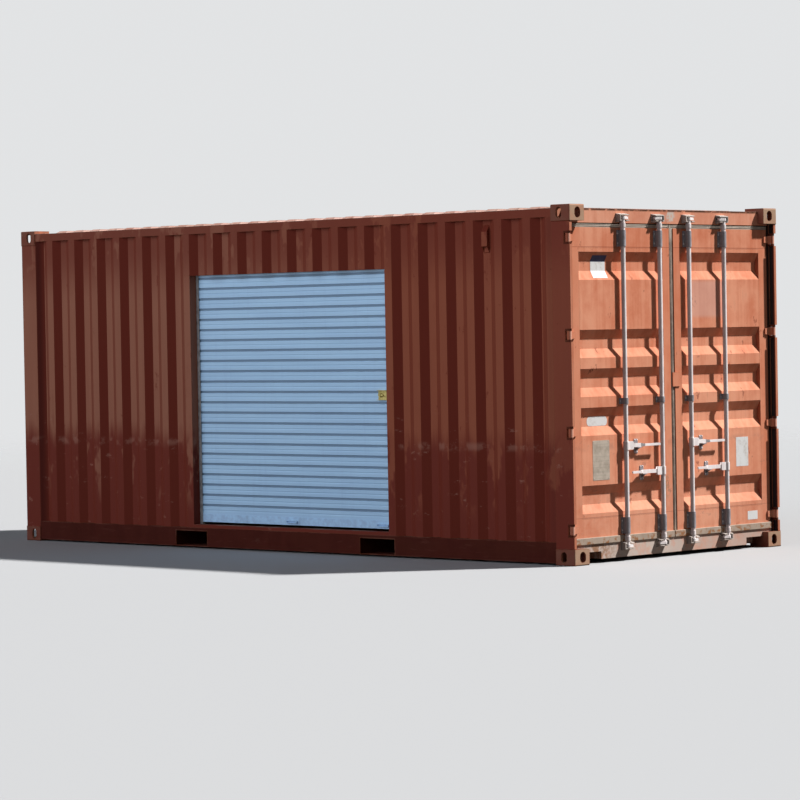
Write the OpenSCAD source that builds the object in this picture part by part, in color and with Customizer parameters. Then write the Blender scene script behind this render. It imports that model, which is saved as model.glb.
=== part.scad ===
/* [Container] */
// Length over the corner castings
length = 6058; // [5000:1:7000]
// Width over the corner castings
width = 2438; // [2300:1:2600]
// Height over the corner castings
height = 2591; // [2400:1:2900]
// How far posts, rails and walls stand back from the casting faces
inset = 6; // [4:0.5:8]
// How far the doors, the header and the sill stand back from the end
door_recess = 58; // [56:0.5:62]
// Top of the floor above the ground
floor_top = 169.5; // [166:0.5:176]

/* [Corner castings] */
// Length of a casting along the container
cast_l = 178; // [170:1:190]
// Width of a casting across the container
cast_w = 162; // [155:1:170]
// Height of a casting
cast_h = 118; // [112:1:125]
// Thickness of the face with the long slot
cast_face = 28; // [20:1:32]
// Thickness of the other casting walls
cast_wall = 18; // [12:1:22]
// Length of the long slot
slot_l = 124.5; // [118:0.5:128]
// Width of the long slot
slot_w = 63.5; // [58:0.5:68]
// Slot centre from the end face
slot_from_end = 102.5; // [98:0.5:106]
// Slot centre from the side face
slot_from_side = 89.5; // [86:0.5:92]
// Height of the holes in the side and end faces
hole_h = 79.5; // [70:0.5:82]
// Width of the hole in the end face
end_hole_w = 63.5; // [56:0.5:68]
// Width of the hole in the side face
side_hole_w = 51; // [44:0.5:56]
// Radius of a casting's outer edges
cast_round = 10; // [6:0.5:12]

/* [Posts and rails] */
// Thickness of the pressed posts
post_t = 6; // [4:0.5:8]
// Thickness of the inner channel of a rear post
jamb_t = 12; // [8:0.5:14]
// Width of a rear post, from the side of the container to the door opening
post_w = 49; // [46:0.5:52]
// How far the rear posts' channels stand back from the doors' faces
jamb_back = 6; // [5:0.5:8]
// Width of the return on a rear post's end
post_return = 25; // [18:1:28]
// Side of the square top rails
top_rail = 60; // [50:1:70]
// Wall of the top rails
top_rail_t = 3; // [2.5:0.5:5]
// Underside of the bottom rails above the ground
rail_z0 = 15; // [12:0.5:18]
// Height of the bottom side rails
rail_h = 150; // [145:1:153]
// Top flange of the bottom side rails
rail_flange = 48; // [40:1:55]
// Bottom flange of the bottom side rails
rail_foot = 30; // [20:1:40]
// Thickness of the bottom rails
rail_t = 4.5; // [3:0.5:6]
// Depth of the door header and of the sill
header_d = 110; // [100:1:112]
// Height of the door header
header_h = 103; // [98:1:108]
// Wall of the header
header_t = 4; // [3:0.5:6]
// Underside of the door sill
sill_z0 = 30; // [24:1:40]
// Top of the door sill at its outer edge
sill_top = 150; // [140:1:155]
// Wall of the sill
sill_t = 5; // [4:0.5:7]
// Width of the sill's sloped inner part
sill_ramp = 60; // [50:1:70]
// Width of the recess in the sill beside each casting
notch_w = 200; // [180:1:220]
// Depth of that recess
notch_d = 95; // [80:1:100]
// Top of that recess
notch_top = 85; // [78:1:95]

/* [Base] */
// Height of a cross member
cross_h = 122; // [116:0.5:122]
// Flange of a cross member
cross_w = 45; // [35:1:55]
// Thickness of a cross member
cross_t = 4; // [3:0.5:5]
// Spacing of the cross members
cross_pitch = 300; // [280:1:330]
// Width of a forklift pocket
pocket_w = 360; // [340:1:370]
// Distance between the middles of the two pockets
pocket_pitch = 2060; // [2000:1:2100]
// Middle of the two pockets from the middle of the container
pocket_mid = 33; // [0:1:50]
// Wall of a pocket
pocket_t = 4; // [3:0.5:6]
// Length of the strap under each mouth of a pocket
strap_l = 200; // [150:1:250]
// Thickness of that strap
strap_t = 6; // [4:0.5:8]
// Thickness of the floor boards
floor_t = 28; // [26:0.5:30]
// Number of floor boards
boards = 5; // [4:1:7]
// Gap between floor boards
board_gap = 2; // [1:0.5:4]

/* [Side and end walls] */
// Thickness of the wall sheets
wall_t = 1.6; // [1.2:0.2:2.4]
// Pitch of the side wall corrugation
side_pitch = 278; // [270:1:284]
// Depth of the side wall corrugation
side_depth = 36; // [30:1:38]
// Width of an outer face of the side wall
side_crest = 72; // [66:1:76]
// Width of a sloped face of the side wall
side_slope = 68; // [62:1:69]
// Least flat strip along the edge of a side wall
edge_strip = 2; // [1:0.5:3]
// Flat strip of a side wall along the rear post
post_strip = 55; // [40:1:58]
// Pitch of the front wall corrugation
front_pitch = 250; // [240:1:260]
// Depth of the front wall corrugation
front_depth = 45.6; // [40:0.2:48]
// Width of an outer face of the front wall
front_crest = 110; // [100:1:115]
// Width of a sloped face of the front wall
front_slope = 18; // [15:1:24]

/* [Roof] */
// Thickness of the roof sheet
roof_t = 2; // [1.6:0.2:2.4]
// Height of the pressed ribs
roof_depth = 20; // [16:0.5:21]
// Pitch of the ribs
roof_pitch = 209; // [200:1:220]
// Width of a rib at its top
roof_crest = 91; // [80:1:96]
// Width of a rib's sloped side
roof_slope = 13; // [10:1:16]
// Distance from the side of the roof to the end of a rib
roof_margin = 70; // [62:1:90]
// Flat stretch at each end of the roof
roof_flat = 290; // [270:1:320]
// Gap at the seams between the roof's sheets
roof_seam = 0.3; // [0.1:0.1:0.5]
// Length of the plates beside the castings
roof_plate_l = 120; // [100:1:140]
// Width of the plates beside the castings
roof_plate_w = 270; // [240:1:300]
// Thickness of the plates beside the castings
roof_plate_t = 3; // [2:0.5:5]

/* [Roller shutter] */
// Number of wall pitches that the shutter opening takes
shutter_bays = 8; // [4:2:10]
// Distance from the roof to the top of the shutter opening
shutter_drop = 391; // [370:1:410]
// Depth of the shutter's steel frame
shutter_frame_d = 88; // [84:1:92]
// Wall of the shutter frame
shutter_frame_t = 4; // [3:0.5:6]
// Height of the frame's head
shutter_head_h = 60; // [50:1:70]
// Height of the frame's threshold
shutter_foot_h = 25; // [20:1:30]
// Pitch of the curtain's grooves
rib_pitch = 82; // [76:1:86]
// Depth of the curtain's grooves
rib_d = 7; // [5:0.5:9]
// Depth of the shallow groove between two of them
crease_d = 2.5; // [1.5:0.5:3]
// Height of a groove at its bottom
groove_h = 14; // [10:1:20]
// Height of a groove's sloped side
groove_slope = 4; // [3:0.5:6]
// Clearance of the curtain in its guides
curtain_gap = 3; // [2:0.5:5]
// Clearance of the curtain behind the frame's head
head_gap = 8; // [5:0.5:10]
// Thickness of the curtain sheet
curtain_t = 1; // [0.8:0.1:1.6]
// Width of a guide's lips
guide_lip = 30; // [24:1:34]
// Opening between a guide's lips
guide_gap = 16; // [14:0.5:20]
// Thickness of a guide
guide_t = 2; // [1.5:0.5:3]
// Radius of the coil
coil_r = 145; // [135:1:150]
// Radius of the coil's shaft
coil_shaft_r = 16; // [12:1:20]
// Running clearance of the shaft in its plates
coil_play = 0.2; // [0.1:0.1:0.5]
// Height of the coil's shaft above the shutter opening
coil_rise = 220; // [212:1:230]
// Thickness of the plates that carry the coil
coil_plate_t = 6; // [5:0.5:8]
// How far those plates reach past the shaft
coil_plate_edge = 60; // [40:1:70]
// Height of the bottom bar
bar_h = 62; // [50:1:70]
// Wall of the bottom bar
bar_wall = 2; // [1.5:0.5:3]
// Gap between the bottom bar and the threshold
bar_gap = 19; // [15:1:25]
// Length of a lift handle
lift_l = 120; // [100:1:130]
// Height of a lift handle
lift_h = 22; // [20:1:26]
// How far a lift handle stands out
lift_d = 12; // [10:1:16]
// Thickness of a lift handle's rim
lift_rim = 6; // [5:0.5:8]
// Length of the latch's plate
latch_l = 122; // [110:1:125]
// Height of the latch's plate
latch_h = 75; // [68:1:80]
// Thickness of the latch's sheet
latch_t = 3; // [2:0.5:4]
// Height of the latch's middle above the floor
latch_rise = 1052; // [1030:1:1075]

/* [Vents] */
// Width of a vent cover
vent_w = 54; // [48:1:58]
// Height of a vent cover
vent_h = 205; // [190:1:215]
// Height of its flat front
vent_front_h = 105; // [95:1:110]
// Depth of a vent cover
vent_d = 30; // [26:1:34]
// Distance from the roof to the middle of a vent
vent_drop = 197.5; // [190:0.5:210]

/* [Doors] */
// Thickness of a door
leaf_t = 50; // [46:1:52]
// Clearance from a door's edge to the rear post
leaf_gap = 12; // [12:0.5:14]
// Distance between the two doors
centre_gap = 48; // [46:1:52]
// Distance from the header down to the doors
leaf_drop = 32; // [28:1:36]
// Distance from the sill up to the doors
leaf_lift = 25; // [20:1:28]
// Width of the upright on the hinge side
hinge_stile = 100; // [90:1:110]
// Width of the upright in the middle
centre_stile = 80; // [70:1:90]
// Height of the top and bottom members
leaf_rail = 150; // [140:1:155]
// Wall of the door frame
leaf_wall = 3.2; // [2.5:0.1:4.5]
// Thickness of the door panel
panel_t = 2; // [1.6:0.2:2.4]
// Depth of the panel's recesses
recess_d = 36; // [30:1:38]
// Pitch of the recesses
recess_pitch = 281; // [276:1:281]
// Height of a recess with its slopes
recess_h = 202; // [190:1:206]
// Height of a recess's sloped side
recess_slope = 65; // [55:1:70]
// Flat strip of the panel above the top recess
recess_drop = 27; // [20:1:32]
// Running gap between a gasket and the frame
gasket_gap = 6; // [5:0.5:8]
// Thickness of the gaskets
gasket_t = 24; // [18:1:28]
// How far a gasket reaches past its door's middle edge
gasket_lip = 4; // [3:0.5:6]
// Gap between the two gaskets in the middle
gasket_split = 7; // [5:0.5:10]
// Height of the overlap plate in the middle of the doors
overlap_h = 105; // [90:1:120]
// Width of the overlap plate
overlap_w = 86; // [76:1:92]
// How far the overlap plate reaches over the gap
overlap_reach = 36; // [30:1:42]
// Thickness of the overlap plate
overlap_t = 8; // [6:0.5:10]
// Distance from the middle bearings up to the overlap plate
overlap_rise = 90; // [80:1:100]

/* [Hinges] */
// Radius of a hinge pin
pin_r = 9; // [7:0.5:10]
// Running clearance of a hinge
pin_play = 0.05; // [0.02:0.01:0.08]
// Radius of a hinge barrel
barrel_r = 16; // [14:0.5:16]
// Distance from a door's face out to its hinge pins
pin_out = 27; // [26:0.5:28]
// Distance from the side of the container to the hinge pins
pin_in = 19; // [18.5:0.5:20]
// Height of a hinge blade at its barrel
blade_h = 62; // [50:1:70]
// Height of a hinge blade at its end
blade_end_h = 44; // [36:1:50]
// Thickness of a hinge blade
blade_t = 12; // [10:0.5:12]
// Length of a hinge blade from its pin
blade_l = 82; // [70:1:100]
// Height of a hinge lug
lug_h = 16; // [12:1:20]
// Gap between a blade and its lugs
lug_gap = 1; // [0.5:0.5:2]
// Distance from a door's top and bottom to its end hinges
hinge_end = 76.5; // [70:0.5:85]

/* [Locking gear] */
// Radius of a locking bar
rod_r = 17; // [15:0.5:17.5]
// Wall of a locking bar
rod_wall = 3; // [2:0.5:4]
// Distance from the door face to a locking bar's axis
rod_stand = 30; // [29:0.5:31]
// Distance of the inner bars from the middle
rod_inner = 172; // [160:1:180]
// Distance of the outer bars from the middle
rod_outer = 592; // [580:1:600]
// Running clearance of a bar in its bearings
rod_play = 0.3; // [0.2:0.05:0.5]
// Gap round a bar inside the pieces that are welded to it
weld_gap = 0.3; // [0.2:0.05:0.4]
// Height of the upper cams above the header's underside
cam_rise = 40; // [38:1:46]
// Distance from the sill's top down to the lower cams
cam_drop = 40; // [38:1:46]
// Thickness of a cam
cam_h = 20; // [16:1:22]
// Radius of a cam's hub
cam_r = 22; // [20:0.5:22]
// Reach of a cam's nose
cam_reach = 54; // [48:1:58]
// Width of a cam's nose
cam_nose = 18; // [14:1:20]
// Thickness of a keeper's ears at its plate
keeper_t = 16; // [12:0.5:18]
// Thickness of a keeper's ears at their tips
keeper_tip = 7; // [5:0.5:10]
// Thickness of a keeper's plate
keeper_plate = 3; // [2:0.5:3]
// Clearance between a cam and its keeper
keeper_gap = 6; // [5.5:0.5:7]
// How far a keeper reaches out past a bar's axis
keeper_out = 16; // [12:1:20]
// How far a keeper reaches past a bar on the side away from its nose
keeper_back = 44; // [40:1:48]
// Half the width of the slot in a keeper's ear that the bar passes through
keeper_slot = 24; // [23.5:0.5:26]
// Radius of the collars beside the keepers
collar_r = 21; // [20:0.5:22]
// Height of a collar
collar_h = 32; // [28:1:36]
// Gap between a collar and its keeper
collar_gap = 5; // [5:0.5:8]
// Height of the bearing brackets at the ends of the bars
guard_h = 120; // [100:1:125]
// Wall of the bearing brackets
guard_t = 5; // [4:0.5:5.5]
// Width of the bearing brackets over their flanges
guard_w = 76; // [70:1:84]
// Distance from a door's bottom to its lower brackets
guard_lift = 25; // [20:1:30]
// Distance from a door's top to its upper brackets
guard_drop = 18; // [14:1:26]
// Height of the middle bearings
bearing_h = 44; // [36:1:56]
// Height of the upper handles
handle_high = 840; // [830:1:850]
// Height of the lower handles
handle_low = 643; // [638:1:655]
// Length of a handle from its pin
handle_l = 332; // [320:1:340]
// Height of a handle at its pin
handle_h = 28; // [22:1:30]
// Height of a handle's grip
grip_h = 18; // [14:1:20]
// Thickness of a handle
handle_t = 10; // [8:0.5:12]
// How far a handle's grip stands out from its inner part
handle_bend = 17; // [10:1:17]
// Distance from a bar's axis to its handle's pin
handle_pin = 40; // [39:0.5:42]
// Radius of a handle's pin
handle_pin_r = 6; // [4:0.5:7]
// Height of the sleeve that carries a handle
sleeve_h = 60; // [52:1:66]
// Reach of that sleeve's plates from the bar's axis
sleeve_l = 76; // [70:1:80]
// Thickness of those plates
sleeve_t = 4; // [3:0.5:5]
// Gap between a handle and each of those plates
sleeve_gap = 1; // [0.5:0.5:2]
// Distance from a bar to the retainer of an upper handle
retainer_high = 142; // [130:1:180]
// Distance from a bar to the retainer of a lower handle
retainer_low = 216; // [180:1:230]
// Width of a handle's retainer
retainer_w = 44; // [36:1:50]
// Height of its plate
retainer_h = 108; // [96:1:112]
// Thickness of its plate
retainer_t = 4; // [3:0.5:5]
// Thickness of the ledge under the handle
ledge_t = 6; // [5:0.5:8]
// Gap between a handle and its ledge
ledge_gap = 1; // [0.5:0.5:2]

/* [Hidden] */
$fn = 48;

red = [0.62, 0.25, 0.17];
dark_red = [0.36, 0.14, 0.11];
steel_grey = [0.6, 0.62, 0.63];
rubber = [0.5, 0.5, 0.47];

// Planes and lines that the pieces share
end_x = length / 2;
side_y = width / 2;
skin_y = side_y - inset;
skin_x = end_x - inset;
cast_in_x = end_x - cast_l;
cast_in_y = side_y - cast_w;
post_top = height - cast_h;
door_face = end_x - door_recess;
jamb_y = side_y - post_w;
jamb_x = door_face - jamb_back;
roof_z = height - inset - roof_depth - roof_t;
header_z = roof_z - header_h;
shutter_top = roof_z - shutter_drop;
coil_z = shutter_top + coil_rise;
leaf_top = header_z - leaf_drop;
leaf_bottom = sill_top + leaf_lift;
rail_top = rail_z0 + rail_h;
floor_z = floor_top - floor_t;
cross_z = floor_z - cross_h;

// The sheet's wall of a bent profile: a path and the same path moved over by t
function unit(v) = v / norm(v);
function normal(a, b) = let (d = unit(b - a)) [-d[1], d[0]];
function mitre(n, m) = (n + m) / (1 + n * m);
function moved(path, t) = [
    for (i = [0 : len(path) - 1])
        let (
            last = len(path) - 1,
            n = normal(path[max(i - 1, 0)], path[max(i - 1, 0) + 1]),
            m = normal(path[min(i, last - 1)], path[min(i, last - 1) + 1])
        )
        path[i] + t * mitre(n, m)
];
function reversed(path) = [for (i = [len(path) - 1 : -1 : 0]) path[i]];
module bent(path, t) {
    polygon(concat(path, reversed(moved(path, t))));
}

// A box between two corners
module block(low, high) {
    translate(low) cube(high - low);
}

// A profile drawn in X and Z, run along Y from y0 to y1
module along_y(y0, y1) {
    translate([0, y1, 0]) rotate([90, 0, 0]) linear_extrude(y1 - y0) children();
}

// A profile drawn in Y and Z, run along X from x0 to x1
module along_x(x0, x1) {
    translate([x0, 0, 0]) rotate([90, 0, 90]) linear_extrude(x1 - x0) children();
}

// A profile drawn in X and Y, run up from z0 to z1
module along_z(z0, z1) {
    translate([0, 0, z0]) linear_extrude(z1 - z0) children();
}

module both_sides() {
    children();
    mirror([0, 1, 0]) children();
}

module both_ends() {
    children();
    mirror([1, 0, 0]) children();
}

// One casting at the +X, +Y corner, standing on z = 0 with its long slot below
module casting() {
    cx = end_x - slot_from_end;
    cy = side_y - slot_from_side;
    run = (slot_l - slot_w) / 2;
    difference() {
        intersection() {
            along_z(0, cast_h) translate([cast_in_x, cast_in_y]) eased(cast_l, cast_w);
            along_y(cast_in_y, side_y) translate([cast_in_x, cast_h]) mirror([0, 1]) eased(cast_l, cast_h);
            along_x(cast_in_x, end_x) translate([cast_in_y, cast_h]) mirror([0, 1]) eased(cast_w, cast_h);
        }
        block([cast_in_x + cast_wall, cast_in_y + cast_wall, cast_face],
              [end_x - cast_wall, side_y - cast_wall, cast_h - cast_wall]);
        translate([cx, cy, -1]) {
            for (s = [-1, 1]) translate([s * run, 0, 0]) cylinder(d = slot_w, h = cast_face + 2);
            translate([-run, -slot_w / 2, 0]) cube([2 * run, slot_w, cast_face + 2]);
        }
        translate([end_x + 1, cy, cast_h / 2]) rotate([0, -90, 0]) upright_hole(end_hole_w);
        translate([cx, side_y + 1, cast_h / 2]) rotate([0, -90, 90]) upright_hole(side_hole_w);
    }
}

// A rectangle from the origin with its far corner rounded
module eased(l, h) {
    square([l - cast_round, h]);
    square([l, h - cast_round]);
    translate([l - cast_round, h - cast_round]) circle(r = cast_round);
}

// A long hole with round ends, hole_h high, cut in from its face
module upright_hole(w) {
    run = (hole_h - w) / 2;
    depth = cast_wall + 2;
    for (s = [-1, 1]) translate([s * run, 0, 0]) cylinder(d = w, h = depth);
    translate([-run, -w / 2, 0]) cube([2 * run, w, depth]);
}

module bottom_corner_castings() {
    color(red) both_ends() both_sides() casting();
}

module top_corner_castings() {
    color(red) both_ends() both_sides() translate([0, 0, height]) mirror([0, 0, 1]) casting();
}

// Front posts: a pressed outer angle with an inner plate that closes it
module front_corner_posts() {
    x0 = -skin_x;
    x1 = -cast_in_x;
    color(dark_red) both_sides() along_z(cast_h, post_top) {
        bent([[x1, -skin_y], [x0, -skin_y], [x0, -cast_in_y]], -post_t);
        bent([[x1 - post_t, -skin_y], [x1 - post_t, -skin_y + side_depth],
              [x0 + front_depth, -cast_in_y - post_t], [x0, -cast_in_y - post_t]], -post_t);
    }
}

// Rear posts: an outer pressing with a return and an inner channel, open towards the end
module rear_corner_posts() {
    color(dark_red) both_sides() difference() {
        along_z(cast_h, post_top) {
            bent([[cast_in_x, -skin_y], [skin_x, -skin_y], [skin_x, -skin_y + post_return]], post_t);
            bent([[cast_in_x, -skin_y], [cast_in_x, -jamb_y], [jamb_x, -jamb_y], [jamb_x, -skin_y]],
                 -jamb_t);
        }
        hinge_spots()
            block([jamb_x, -side_y, -lug_span / 2], [end_x, -skin_y + post_return + post_t, lug_span / 2]);
    }
}

module top_side_rails() {
    color(dark_red) both_sides() along_x(-cast_in_x, cast_in_x) difference() {
        translate([skin_y - top_rail, roof_z - top_rail]) square(top_rail);
        translate([skin_y - top_rail + top_rail_t, roof_z - top_rail + top_rail_t])
            square(top_rail - 2 * top_rail_t);
    }
}

// Bottom rails: channels with their backs outwards, cut for the forklift pockets
module bottom_side_rails() {
    color(dark_red) both_sides() difference() {
        along_x(-cast_in_x, cast_in_x)
            bent([[skin_y - rail_flange, rail_top], [skin_y, rail_top],
                  [skin_y, rail_z0], [skin_y - rail_foot, rail_z0]], -rail_t);
        for (x = pocket_x) translate([x, 0, 0])
            block([-pocket_w / 2 - pocket_t, 0, 0], [pocket_w / 2 + pocket_t, side_y, floor_z]);
    }
}

module end_tube(z0, z1, t) {
    x0 = -skin_x;
    color(dark_red) along_y(-cast_in_y, cast_in_y) difference() {
        translate([x0, z0]) square([top_rail, z1 - z0]);
        translate([x0 + t, z0 + t]) square([top_rail - 2 * t, z1 - z0 - 2 * t]);
    }
}

module front_top_rail() {
    end_tube(roof_z - top_rail, roof_z, top_rail_t);
}

module front_bottom_rail() {
    end_tube(rail_z0, rail_top, rail_t);
}

// What the castings take from a piece that runs between the rear posts
module without_castings() {
    difference() {
        children();
        both_sides() {
            block([cast_in_x - 1, cast_in_y, -1], [end_x, side_y, cast_h]);
            block([cast_in_x - 1, cast_in_y, post_top], [end_x, side_y, height + 1]);
        }
    }
}

module door_header() {
    x0 = door_face - header_d;
    color(red) without_castings() along_y(-jamb_y, jamb_y) difference() {
        translate([x0, header_z]) square([header_d, roof_z - header_z]);
        translate([x0 + header_t, header_z + header_t])
            square([header_d - 2 * header_t, roof_z - header_z - 2 * header_t]);
    }
}

// The sill: a pressed channel that slopes down outwards, with a lined recess beside each casting
module door_sill() {
    x0 = door_face - header_d;
    x1 = door_face;
    color(red) without_castings() union() {
        difference() {
            along_y(-jamb_y, jamb_y)
                bent([[x0 + rail_foot, sill_z0], [x0, sill_z0], [x0, floor_top],
                      [x0 + sill_ramp, sill_top], [x1, sill_top], [x1, sill_z0],
                      [x1 - rail_foot, sill_z0]], -sill_t);
            both_sides() notch(0);
        }
        both_sides() difference() {
            notch(sill_t);
            notch(0);
        }
    }
}

// The recess in the sill, grown by g on its inner faces
module notch(g) {
    block([door_face - notch_d - g, cast_in_y - notch_w - g, sill_z0],
          [door_face, cast_in_y, notch_top + g]);
}

pocket_x = [pocket_mid - pocket_pitch / 2, pocket_mid + pocket_pitch / 2];
function clear_of_pockets(x) =
    min([for (p = pocket_x) abs(x - p)]) > pocket_w / 2 + pocket_t + cross_w;

// Cross members: channels that run between the bottom rails under the floor
module cross_members() {
    count = floor((cast_in_x - cross_w) / cross_pitch);
    color(dark_red) for (i = [-count : count]) {
        x = i * cross_pitch;
        if (clear_of_pockets(x)) translate([x, 0, 0]) along_y(-skin_y + rail_t, skin_y - rail_t)
            bent([[cross_w / 2, cross_z], [-cross_w / 2, cross_z],
                  [-cross_w / 2, floor_z], [cross_w / 2, floor_z]], -cross_t);
    }
}

// Forklift pockets: tunnels through the base with a strap under each mouth
module fork_pockets() {
    out = pocket_w / 2 + pocket_t;
    color(dark_red) for (x = pocket_x) translate([x, 0, 0]) {
        along_y(-skin_y, skin_y)
            bent([[-out, rail_z0], [-out, floor_z], [out, floor_z], [out, rail_z0]], -pocket_t);
        both_sides() block([-out, skin_y - strap_l, rail_z0], [out, skin_y, rail_z0 + strap_t]);
    }
}

// Floor boards lie on the cross members, between the bottom rails
module floor_boards() {
    x0 = -skin_x + top_rail;
    x1 = door_face - header_d;
    board = (x1 - x0 + board_gap) / boards;
    floor_y = skin_y - rail_flange;
    color([0.42, 0.3, 0.2]) difference() {
        for (i = [0 : boards - 1])
            block([x0 + i * board, -floor_y, floor_z],
                  [x0 + (i + 1) * board - board_gap, floor_y, floor_top]);
        both_sides() block([-end_x, cast_in_y, 0], [-cast_in_x, side_y, height]);
    }
}

// Fill of a trapezoid wave, from zero up to the wave, with n crests centred on zero
function wave_fill(n, pitch, crest, slope, top) = concat(
    [[-n * pitch / 2, -1], [-n * pitch / 2, 0]],
    [for (i = [0 : n - 1])
        let (c = (i - (n - 1) / 2) * pitch)
        each [[c - crest / 2 - slope, 0], [c - crest / 2, top],
              [c + crest / 2, top], [c + crest / 2 + slope, 0]]],
    [[n * pitch / 2, 0], [n * pitch / 2, -1]]
);

// The pressed ribs as a solid: a wave along the roof, closed off by slopes at both sides
module rib_form() {
    n = floor(2 * (skin_x - roof_flat) / roof_pitch);
    half = skin_y - roof_margin;
    intersection() {
        along_y(-half, half) polygon(wave_fill(n, roof_pitch, roof_crest, roof_slope, roof_depth));
        along_x(-skin_x, skin_x) polygon([
            [-half, -1], [-half, 0], [-half + 2 * roof_depth, roof_depth],
            [half - 2 * roof_depth, roof_depth], [half, 0], [half, -1]]);
    }
}

// Roof: one ribbed sheet between the castings' inner faces, and a flat strip over each end
module roof_sheet() {
    color(red) {
        difference() {
            union() {
                block([-cast_in_x, -skin_y, roof_z], [cast_in_x, skin_y, roof_z + roof_t]);
                translate([0, 0, roof_z + roof_t]) rib_form();
            }
            translate([0, 0, roof_z]) rib_form();
        }
        for (x = [[-skin_x, -cast_in_x - roof_seam], [cast_in_x + roof_seam, door_face]])
            block([x[0], -cast_in_y, roof_z], [x[1], cast_in_y, roof_z + roof_t]);
    }
}

module roof_corner_plates() {
    z = roof_z + roof_t;
    color(red) both_ends() both_sides()
        block([cast_in_x - roof_plate_l, skin_y - roof_plate_w, z], [cast_in_x, skin_y, z + roof_plate_t]);
}

// Outer face of the side wall's corrugation: a crest is centred on crest_x and on each pitch from it.
// The wall ends flat on a post or on a shutter jamb, with a strip at least as wide as named
crest_x = 112;
function side_path(x0, x1, strip) =
    let (
        room = 2 * side_slope + side_crest / 2,
        i0 = ceil((x0 + edge_strip + room - crest_x) / side_pitch),
        i1 = floor((x1 - strip - room - crest_x) / side_pitch),
        s0 = max(x0 + edge_strip, crest_x + (i0 - 1) * side_pitch + side_crest / 2),
        s1 = min(x1 - strip, crest_x + (i1 + 1) * side_pitch - side_crest / 2),
        out = -skin_y,
        in = -skin_y + side_depth
    )
    concat(
        [[x0, out], [s0, out], [s0 + side_slope, in]],
        [for (i = [i0 : i1]) let (c = crest_x + i * side_pitch, h = side_crest / 2) each
            [[c - h - side_slope, in], [c - h, out], [c + h, out], [c + h + side_slope, in]]],
        [[s1 - side_slope, in], [s1, out], [x1, out]]
    );

module side_wall(x0, x1, z0, strip = edge_strip) {
    color(dark_red) along_z(z0, roof_z - top_rail) bent(side_path(x0, x1, strip), wall_t);
}

shutter_x0 = crest_x - shutter_bays / 2 * side_pitch + side_crest / 2;
shutter_x1 = crest_x + shutter_bays / 2 * side_pitch - side_crest / 2;

module side_wall_front_part() {
    side_wall(-cast_in_x, shutter_x0 - side_crest, rail_top);
}

module side_wall_rear_part() {
    side_wall(shutter_x1 + side_crest, cast_in_x, rail_top, post_strip);
}

module side_wall_over_shutter() {
    side_wall(shutter_x0 - side_crest, shutter_x1 + side_crest, shutter_top);
}

module far_side_wall() {
    mirror([0, 1, 0]) side_wall(-cast_in_x, cast_in_x, rail_top, post_strip);
}

// Outer face of the front wall's corrugation, crests outwards
function front_path() =
    let (n = floor((2 * cast_in_y - front_crest) / front_pitch))
    concat(
        [[-skin_x, -cast_in_y]],
        [for (i = [0 : n - 1]) let (c = (i - (n - 1) / 2) * front_pitch, h = front_pitch / 2) each [
            [-skin_x, c - h + front_crest / 2],
            [-skin_x + front_depth, c - h + front_crest / 2 + front_slope],
            [-skin_x + front_depth, c + h - front_crest / 2 - front_slope],
            [-skin_x, c + h - front_crest / 2]
        ]],
        [[-skin_x, cast_in_y]]
    );

module front_wall() {
    color(dark_red) along_z(rail_top, roof_z - top_rail) bent(front_path(), -wall_t);
}

// Shutter frame: two jambs as wide as a crest, a head inside the wall and a threshold. The jambs stand
// on the rail and on the floor, and inside the wall they reach up past the head
frame_in_y = -skin_y + shutter_frame_d;
curtain_y = frame_in_y - guide_gap / 2 - guide_t;
module shutter_frame() {
    head_y = -skin_y + side_depth + wall_t;
    head_in_y = curtain_y - rib_d / 2 - head_gap;
    head_z = shutter_top + shutter_head_h;
    color(dark_red) {
        for (x = [shutter_x0 - side_crest, shutter_x1]) difference() {
            union() {
                tube([x, -skin_y, rail_top], [x + side_crest, frame_in_y, shutter_top]);
                tube([x, head_y, shutter_top], [x + side_crest, frame_in_y, head_z]);
            }
            block([x - 1, -skin_y + rail_flange, 0], [x + side_crest + 1, frame_in_y + 1, floor_top]);
        }
        along_x(shutter_x0, shutter_x1) difference() {
            t = shutter_frame_t;
            translate([head_y, shutter_top]) square([head_in_y - head_y, shutter_head_h]);
            translate([head_y + t, shutter_top + t])
                square([head_in_y - head_y - 2 * t, shutter_head_h - 2 * t]);
        }
        along_x(shutter_x0, shutter_x1)
            bent([[-skin_y, rail_top], [-skin_y, foot_top], [frame_in_y, foot_top]], -shutter_frame_t);
    }
}

// An upright tube of the shutter frame between two corners
module tube(low, high) {
    t = [shutter_frame_t, shutter_frame_t, 0];
    difference() {
        block(low, high);
        block(low + t - [0, 0, 1], high - t + [0, 0, 1]);
    }
}

// The middle and half the width of the shutter opening, the top of its threshold and the curtain's foot
shutter_mid = (shutter_x0 + shutter_x1) / 2;
shutter_half = (shutter_x1 - shutter_x0) / 2;
foot_top = rail_top + shutter_foot_h;
curtain_half = shutter_half - guide_t - curtain_gap;
bar_z = foot_top + bar_gap;
coil_y = curtain_y + rib_d / 2 + coil_r;

// Guides: channels on the jambs that hold the curtain's edges, with the coil's plates above
module shutter_guides() {
    lip = guide_gap / 2 + guide_t;
    half = shutter_half;
    color(steel_grey) translate([shutter_mid, 0, 0]) both_ends() {
        along_z(foot_top, shutter_top)
            bent([[half - guide_lip, curtain_y - lip], [half, curtain_y - lip],
                  [half, curtain_y + lip], [half - guide_lip, curtain_y + lip]], guide_t);
        difference() {
            block([half, frame_in_y, shutter_top],
                  [half + coil_plate_t, coil_y + coil_plate_edge, coil_z + coil_plate_edge]);
            translate([half - 1, coil_y, coil_z]) rotate([0, 90, 0])
                cylinder(r = coil_shaft_r + coil_play, h = coil_plate_t + 2);
        }
        block([half, frame_in_y, shutter_top],
              [half + side_crest, frame_in_y + coil_plate_t, shutter_top + shutter_head_h]);
    }
}

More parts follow.
